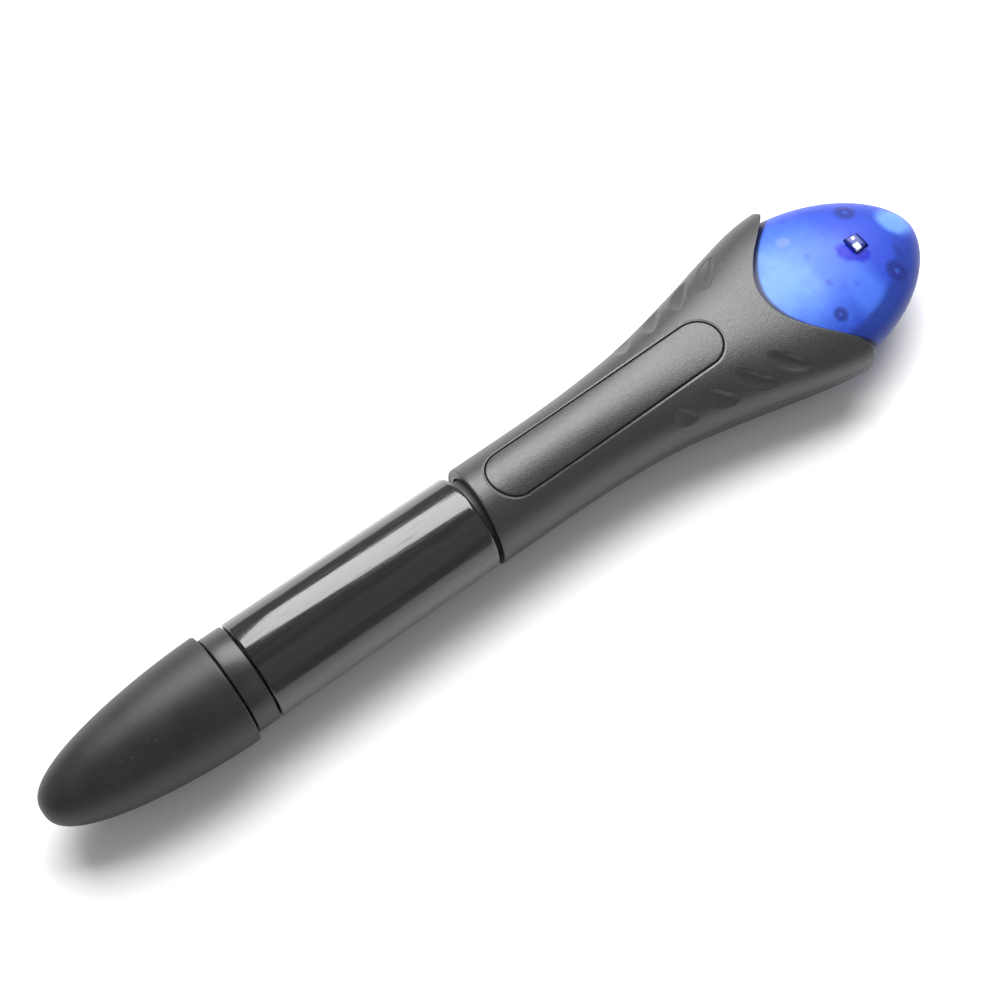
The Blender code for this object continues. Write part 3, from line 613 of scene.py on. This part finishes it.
print("lamp body")
casing = {
    "halfWidth": [(74, 8.0), (93, 8.1), (103, 8.65), (109.5, 9.4), (116, 10.65), (123, 12.25),
                  (129.6, 13.95), (136.5, 15.5), (141, 16.0), (146, 15.9)],
    "top": [(74, 8.0), (112, 8.0), (124, 7.85), (133, 7.4), (146, 7.2)],
    "bottom": [(74, 8.0), (100, 8.05), (114, 8.6), (126, 9.3), (146, 9.3)],
    "squareness": [(90, 2.0), (126, 2.3)],
    "wall": [(124, 1.4), (131, 1.0)],
    "front": 75.15,
    "slant": 0.081,
    "rim": [(0, 130.9), (2.5, 131.25), (5, 132.5), (8, 135), (11, 138.3), (13.5, 141), (15.5, 142)],
    "wingEnd": 142.4,
    "seam": 0.04,
    "land": -axisHeight * 1000,
    "rows": 170,
    "columns": 112,
}
grips = [  # station, angle round the section, half length and depth of each thumb grip
    {"station": 109.4, "angle": 38, "reach": 2.1, "depth": 0.28},
    {"station": 115.6, "angle": 40, "reach": 3.0, "depth": 0.48},
    {"station": 121.8, "angle": 42, "reach": 3.7, "depth": 0.60},
    {"station": 128.0, "angle": 44, "reach": 4.0, "depth": 0.62},
]


gripShape = {"lean": 50, "steep": 0.85, "gentle": 2.1, "wrap": 0.95, "hollow": 0.75}


def sectionPoint(x, turn, inset=0.0):
    power = along(casing["squareness"], x)
    up = math.sin(turn)
    wide = along(casing["halfWidth"], x) - inset
    tall = along(casing["top" if up > 0 else "bottom"], x) - inset
    y = math.copysign(abs(math.cos(turn)) ** (2 / power), math.cos(turn)) * wide
    return Vector((x, y, math.copysign(abs(up) ** (2 / power), up) * tall))


def gripDepth(x, turn):
    # slanted scoops, steep on the side towards the head
    depth = 0.0
    for grip in grips:
        angle = math.radians(grip["angle"])
        side = turn if turn < math.pi / 2 else math.pi - turn
        if not 0 < side < math.pi / 2:
            continue
        a = x - grip["station"]
        b = (angle - side) * along(casing["halfWidth"], x) * gripShape["wrap"]
        lean = math.radians(gripShape["lean"])
        run = a * math.cos(lean) + b * math.sin(lean)
        across = a * math.sin(lean) - b * math.cos(lean)
        across /= gripShape["steep"] if across > 0 else gripShape["gentle"]
        far = (run / grip["reach"]) ** 2 + across ** 2
        if far < 1:
            depth += grip["depth"] * (1 - far) ** gripShape["hollow"]
    return depth


def rimStation(y):
    return min(along(casing["rim"], abs(y)) + casing["slant"] * y, casing["wingEnd"])


def frontStation(y):
    return casing["front"] + casing["slant"] * y


def shellRows(wallAtFront):
    # (share of the way from the front edge to the rim, shift, inset) round the wall's section
    rows = [(0, 0.1, 0.45), (0, 0.0, 0.32), (0, 0.03, 0.15), (0, 0.12, 0.05), (0, 0.3, 0.0)]
    count = casing["rows"]
    rows += [(k / count, 0.3 * (1 - k / count) - 0.22 * k / count, 0) for k in range(1, count)]
    rows += [(1, -0.22, 0.0), (1, -0.08, 0.03), (1, -0.01, 0.1), (1, 0, 0.2), (1, 0, 0.36), (1, -0.04, 0.41)]
    rows += [(1, -0.4, 0.43), (1, -0.4, 0.58), (1, -0.1, 0.6), (1, -0.06, 0.66), (1, -0.06, 0.88)]
    rows += [(1, -0.12, 0.96), (1, -0.3, 1.0)]
    rows += [(1 - k / 40, -0.3 + 0.4 * k / 40, None) for k in range(1, 40)]
    rows += [(0, 0.1, wallAtFront)]
    return rows + rows[:1]


def casingShell(upper):
    rows = shellRows(casing["wall"][0][1])
    columns = casing["columns"]

    def pointAt(row, column):
        share, shift, inset = rows[row]
        turn = math.pi * column / (columns - 1) * (1 if upper else -1)
        x = 110.0
        point = None
        for _ in range(9):
            depth = inset if inset is not None else along(casing["wall"], x)
            if upper and inset == 0 and 0 < share < 1:
                depth += gripDepth(x, turn)
            point = sectionPoint(x, turn, depth)
            front = frontStation(point.y)
            x = front + (rimStation(point.y) - front) * share + shift
        point.x = x
        point.z = max(point.z, casing["seam"]) if upper else min(point.z, -casing["seam"])
        point.z = max(point.z, casing["land"])
        return point

    bm = surface(len(rows), columns, pointAt)
    closeUp(bm)
    return bm


def within(bm, sizeAt, stations):
    # bm cut back to a solid whose half width, top and depth at each station sizeAt gives
    count = 96

    def pointAt(row, column):
        wide, top, under = sizeAt(stations[row])
        turn = math.tau * (column % count) / count
        up = math.sin(turn)
        return Vector((stations[row], wide * math.cos(turn), (top if up > 0 else under) * up))

    solid = surface(len(stations), count + 1, pointAt)
    closeUp(solid)
    return cut(bm, solid, operation="INTERSECT")


def stadium(grow, steps=24):
    reach = buttonRadius + grow
    outline = []
    for centre, start in ((buttonEnd - buttonRadius, -90), (buttonStart + buttonRadius, 90)):
        for k in range(steps + 1):
            turn = math.radians(start + 180 * k / steps)
            outline.append((centre + reach * math.cos(turn), reach * math.sin(turn)))
    return outline


piece("upperCasing", cut(casingShell(True), prism(stadium(buttonSlit), 3, 12)), bodyBlack, "lamp",
      "body_black", "upper_shell", angle=45)

screwPlaces = {"station": 122.6, "side": 7.7, "seat": -4.6}


def casingMiddle(x):
    wall = along(casing["wall"], x) * 0.6
    return [along(casing[side], x) - wall for side in ("halfWidth", "top", "bottom")]


lowerShell = casingShell(False)
screwTubes = []
for side in (-1, 1):
    at = (screwPlaces["station"], side * screwPlaces["side"])
    lowerShell = cut(lowerShell, lathe([(-12, 0), (-12, 2.3), (-5, 2.3), (-5, 0)], 48, "Z", at))
    tube = lathe([
        (-9.5, 2.3), (-9.5, 2.9), (-0.2, 2.9), (-0.2, 1.35), (screwPlaces["seat"], 1.35),
        (screwPlaces["seat"], 2.3),
    ], 48, "Z", at)
    screwTubes.append(within(tube, casingMiddle, [112 + 2 * k for k in range(11)]))
piece("lowerCasing", joined(lowerShell, *screwTubes), bodyBlack, "lamp", "body_black",
      "lower_shell", angle=45)

socketStart, socketEnd, socketRadius = span("socket_sleeve")
piece("socketSleeve", lathe([
    (socketStart, 5.0), (socketStart, socketRadius), (socketEnd, socketRadius), (socketEnd, 5.0),
], 96, edge=0.25), greyPlastic, "lamp", "grey_plastic", "socket_sleeve")

# Button

print("button")


def pushPaddle():
    # loops of (distance in from the outline, depth below the casing's skin), then points round it
    edge, thickness = 0.28, 1.2
    loops = [(buttonRadius, 0), (3.0, 0), (2.0, 0), (1.2, 0), (0.7, 0), (0.45, 0)]
    for k in range(6):
        turn = math.radians(90 * k / 5)
        loops.append((edge * (1 - math.sin(turn)), edge * (1 - math.cos(turn))))
    loops += [(0, 0.7)] + [(inward, thickness) for inward in (0, 0.5, 2.0, buttonRadius)]
    count, straight = 40, 60
    outline = stadium(0, count)
    first, second = outline[:count + 1], outline[count + 1:]
    path = []
    for arc, target in ((first, second[0]), (second, first[0])):
        path += arc
        for k in range(1, straight):
            path.append(tuple(a + (b - a) * (k / straight) for a, b in zip(arc[-1], target)))
    path.append(path[0])
    low, high = buttonStart + buttonRadius, buttonEnd - buttonRadius

    def pointAt(row, column):
        inward, drop = loops[row]
        x, y = path[column]
        core = Vector((min(max(x, low), high), 0))
        place = core + (Vector((x, y)) - core) * (1 - inward / buttonRadius)
        power = along(casing["squareness"], place.x)
        share = abs(place.y) / along(casing["halfWidth"], place.x)
        height = along(casing["top"], place.x) * (1 - share ** power) ** (1 / power)
        return Vector((place.x, place.y, height - drop))

    plate = surface(len(loops), len(path), pointAt)
    closeUp(plate)
    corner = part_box("push_button")[0]
    tongueStart = (corner[0] - tip) * 1000
    tongueFoot = (corner[2] - axisHeight) * 1000
    tongue = block((tongueStart, -2, tongueFoot), (79.3, 2, tongueFoot + 0.65), 0.1)
    neck = block((78.4, -2, tongueFoot + 0.1), (79.3, 2, 7.0), 0.1)
    nub = lathe([(6.45, 0), (6.45, 1.8), (7.2, 1.8), (7.2, 0)], 40, "Z", (112, 0), edge=0.1)
    return joined(plate, tongue, neck, nub)


piece("pushPaddle", pushPaddle(), bodyBlack, "button", "body_black", "push_button", angle=50)

# Dome

print("dome")
dome = {
    "start": span("dome_lens")[0], "end": 162.5, "widest": 139.0, "size": (14.45, 6.5, 7.5), "wall": 1.3,
    "parting": -1.5, "gap": 0.2, "rib": (128.3, 129.5, 1.3), "floorExtra": [(106, 0.0), (118, 0.4)],
    "led": 150.0, "window": 1.55, "columns": 112,
    "posts": {"front": (153.8, 6.0, 1.9, -2.9), "rear": (141.8, 7.9, 1.6, -4.2)},
}


def domeSize(x):
    share = max(x - dome["widest"], 0) / (dome["end"] - dome["widest"])
    nose = (1 - min(share, 1) ** 1.9) ** 0.58
    clearance = along(casing["wall"], x) + 0.35
    wide = min(along(casing["halfWidth"], x) - clearance, dome["size"][0] * nose)
    tucked = along(casing["top"], x) - clearance
    top = (tucked + (dome["size"][1] - tucked) * smooth((x - 131) / 7)) * nose
    under = along(casing["bottom"], x) - clearance - along(dome["floorExtra"], x)
    return wide, top, min(under, dome["size"][2] * nose)


def domeMiddle(x):
    return [max(value - dome["wall"] * 0.6, 0.3) for value in domeSize(x)]


def domeShell(upper):
    start = dome["start"]
    end = dome["end"] - 0.1 if upper else 161.45
    groove = dome["rib"]
    outer = [(start, 0.6), (start + 0.05, 0.1), (start + 0.3, 0)]
    outer += [(groove[0] - 0.35, 0), (groove[0] - 0.3, groove[2]), (groove[1] + 0.3, groove[2])]
    outer += [(groove[1] + 0.35, 0)]
    bow = 150  # steps, closer together towards the tip
    first = groove[1] + 0.5
    outer += [(first + (end - first) * math.sin(math.pi / 2 * k / bow), 0) for k in range(bow + 1)]
    inner = [(x - (dome["wall"] if k < 6 else 0), None) for k, x in enumerate(
        (end, end - 0.4, end - 1.2, end - 2.5, end - 4, end - 6, 152, 148, 144, 140, 136, 133, 131.4))]
    rows = outer + inner + [(start, dome["wall"] + groove[2])] + outer[:1]
    columns = dome["columns"]

    def pointAt(row, column):
        x, inset = rows[row]
        wide, top, under = domeSize(x)
        inset = dome["wall"] if inset is None else inset
        wide, top, under = [max(value - inset, 0.02) for value in (wide, top, under)]
        share = column / (columns - 1)
        level = -dome["parting"] if upper else dome["gap"] - dome["parting"]
        dip = math.asin(min(level / under, 1.0))
        turn = -dip + (math.pi + 2 * dip) * share if upper else -dip - (math.pi - 2 * dip) * share
        up = math.sin(turn)
        return Vector((x, wide * math.cos(turn), (top if up > 0 else under) * up))

    bm = surface(len(rows), columns, pointAt)
    closeUp(bm)
    return bm


def postsOf(upper):
    made = []
    for x, y, radius, seat in dome["posts"].values():
        for side in (-1, 1):
            at = (x, side * y)
            wide, top, under = domeSize(x)
            reach = math.sqrt(max(1 - (y / wide) ** 2, 0))
            if upper:
                foot, end = dome["parting"] + dome["gap"], top * reach - 0.9
                outline = [(foot, 0.95), (foot, radius), (end, radius), (end, 0), (2.0, 0), (2.0, 0.95)]
            else:
                outline = [(-9, 1.7), (-9, 2.3), (-1.8, 2.3), (-1.8, 1.0), (seat, 1.0), (seat, 1.7)]
            made.append(within(lathe(outline, 40, "Z", at), domeMiddle, [130 + k for k in range(31)]))
    return made


lens = domeShell(True)
half = dome["window"]
lens = cut(lens, block((dome["led"] - half, -half, 3.3), (dome["led"] + half, half, 12), 0.35))
piece("domeLens", joined(lens, *postsOf(True)), lensBlue, "lamp", "lens_blue", "dome_lens", angle=40)

base = domeShell(False)
for x, y, radius, seat in dome["posts"].values():
    for side in (-1, 1):
        base = cut(base, lathe([(-12, 0), (-12, 1.7), (-1.9, 1.7), (-1.9, 0)], 40, "Z", (x, side * y)))
piece("domeBase", joined(base, *postsOf(False)), lensBlue, "lamp", "lens_blue", "dome_base", angle=40)


def crossScrew(at, head, height, shank, length, seat):
    top = seat - 0.2
    body = lathe([(top - height, 0), (top - height, head), (top, head), (top, shank), (top + length, shank),
                  (top + length, 0)], 40, "Z", at, edge=0.18)
    arm = head * 0.62
    slots = []
    for wide, tall in ((arm, 0.2), (0.2, arm)):
        slots.append(block((at[0] - wide, at[1] - tall, top - height - 1),
                           (at[0] + wide, at[1] + tall, top - height * 0.4)))
    return cut(body, *slots)


for label, side in (("right", -1), ("left", 1)):
    for name, (x, y, radius, seat) in dome["posts"].items():
        node = f"dome_screw_{name}_{label}"
        piece(f"domeScrew.{name}.{label}", crossScrew((x, side * y), 1.5, 0.9, 0.7, 4.8, seat), steel, "lamp",
              "steel", node)
    at = (screwPlaces["station"], side * screwPlaces["side"])
    piece(f"bodyScrew.{label}", crossScrew(at, 2.0, 1.3, 1.0, 8.2, screwPlaces["seat"]), steel, "lamp",
          "steel", f"body_screw_{label}")


def uvLamp():
    low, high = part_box("uv_led")
    foot = (low[2] - axisHeight) * 1000
    top = (high[2] - axisHeight) * 1000
    x = dome["led"]
    return joined(block((x - 2.1, -2.1, foot), (x + 2.1, 2.1, foot + 1.0), 0.15),
                  block((x - 1.5, -1.45, foot + 0.9), (x + 0.75, 1.3, top), 0.5, 4))


piece("uvLamp", uvLamp(), ledClear, "lamp", "led_clear", "uv_led")
chipWhite = plainPlastic("chipWhite", rgb(0.75, 0.78, 0.85), rgb(0.9, 0.92, 0.97), 0.35, 0.2, 0.004)
piece("lampChip", joined(
    block((dome["led"] - 1.35, -1.5, 5.9), (dome["led"] - 0.3, -0.3, 6.62), 0.12),
    block((dome["led"] - 0.7, 0.25, 5.7), (dome["led"] - 0.05, 0.9, 6.61), 0.1),
), chipWhite, "lamp", "led_clear")

# Pieces carried over from the CAD

carried = {
    "ink_reservoir": inkFibre, "switch_body": chipBlack, "switch_stem": greyPlastic,
    "circuit_board": boardGreen(), "resistor": chipBlack, "led_board": boardWhite,
    "battery_tray": greyPlastic,
    "button_cell_1": cellNickel, "button_cell_2": cellNickel, "button_cell_3": cellNickel,
    "battery_spring": steel, "battery_contact": brass, "led_wire_red": wireRed, "led_wire_black": wireBlack,
}
for node, material in carried.items():
    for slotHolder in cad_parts[node].material_slots:
        slotHolder.material = material

# Floor, light and camera

print("stage")
stageLook = {"floor": rgb(0.86, 0.86, 0.86), "world": (1.0, 1.0, 1.0), "worldStrength": 0.36}


def paleFloor():
    bm = bmesh.new()
    bmesh.ops.create_grid(bm, x_segments=2, y_segments=2, size=3.0)
    mesh = bpy.data.meshes.new("paleFloor")
    bm.to_mesh(mesh)
    bm.free()
    made = bpy.data.objects.new("paleFloor", mesh)
    bpy.context.collection.objects.link(made)
    finish = Finish("paleFloor", {"Roughness": 0.9, "Specular IOR Level": 0.1})
    cloud = finish.noise(60.0, 2.0)
    mesh.materials.append(finish.set(color=finish.mix(cloud, stageLook["floor"], rgb(0.88, 0.88, 0.88))))


paleFloor()

world = bpy.data.worlds.new("studio")
world.use_nodes = True
world.node_tree.nodes["Background"].inputs[0].default_value = (*stageLook["world"], 1)
world.node_tree.nodes["Background"].inputs[1].default_value = stageLook["worldStrength"]
bpy.context.scene.world = world
bpy.context.scene.view_settings.view_transform = "Standard"

centre = Vector((0, 0, axisHeight))


def softbox(name, towards, distance, size, power):
    lamp = bpy.data.lights.new(name, "AREA")
    lamp.shape = "RECTANGLE"
    lamp.size, lamp.size_y = size
    lamp.energy = power
    made = bpy.data.objects.new(name, lamp)
    bpy.context.collection.objects.link(made)
    aim = Vector(towards).normalized()
    made.location = centre + aim * distance
    made.rotation_euler = aim.to_track_quat("Z", "Y").to_euler()


softbox("keyBox", (0.267, 0.50, 0.75), 0.60, (0.75, 0.46), 8.6)
softbox("fillBox", (0.1, -0.7, 0.75), 0.9, (1.0, 0.8), 0.4)

view = {"azimuth": -127.5, "elevation": 64.0, "distance": 0.2832, "aimStation": 79.8,
        "focal": 1888, "turn": 0.29, "shift": (-0.0006, 0.0009)}


def photoCamera():
    lens = bpy.data.cameras.new("camera")
    lens.sensor_width = 36
    lens.lens = 36 * view["focal"] / 1000
    lens.clip_start = 0.01
    lens.shift_x, lens.shift_y = view["shift"]
    camera = bpy.data.objects.new("camera", lens)
    bpy.context.collection.objects.link(camera)
    azimuth, elevation = math.radians(view["azimuth"]), math.radians(view["elevation"])
    back = Vector((math.cos(azimuth) * math.cos(elevation), math.sin(azimuth) * math.cos(elevation),
                   math.sin(elevation)))
    aim = toWorld @ Vector((view["aimStation"], 0, 0))
    camera.location = aim + back * view["distance"]
    turned = back.to_track_quat("Z", "Y").to_matrix() @ Matrix.Rotation(math.radians(view["turn"]), 3, "Z")
    camera.rotation_euler = turned.to_euler()
    bpy.context.scene.camera = camera


photoCamera()
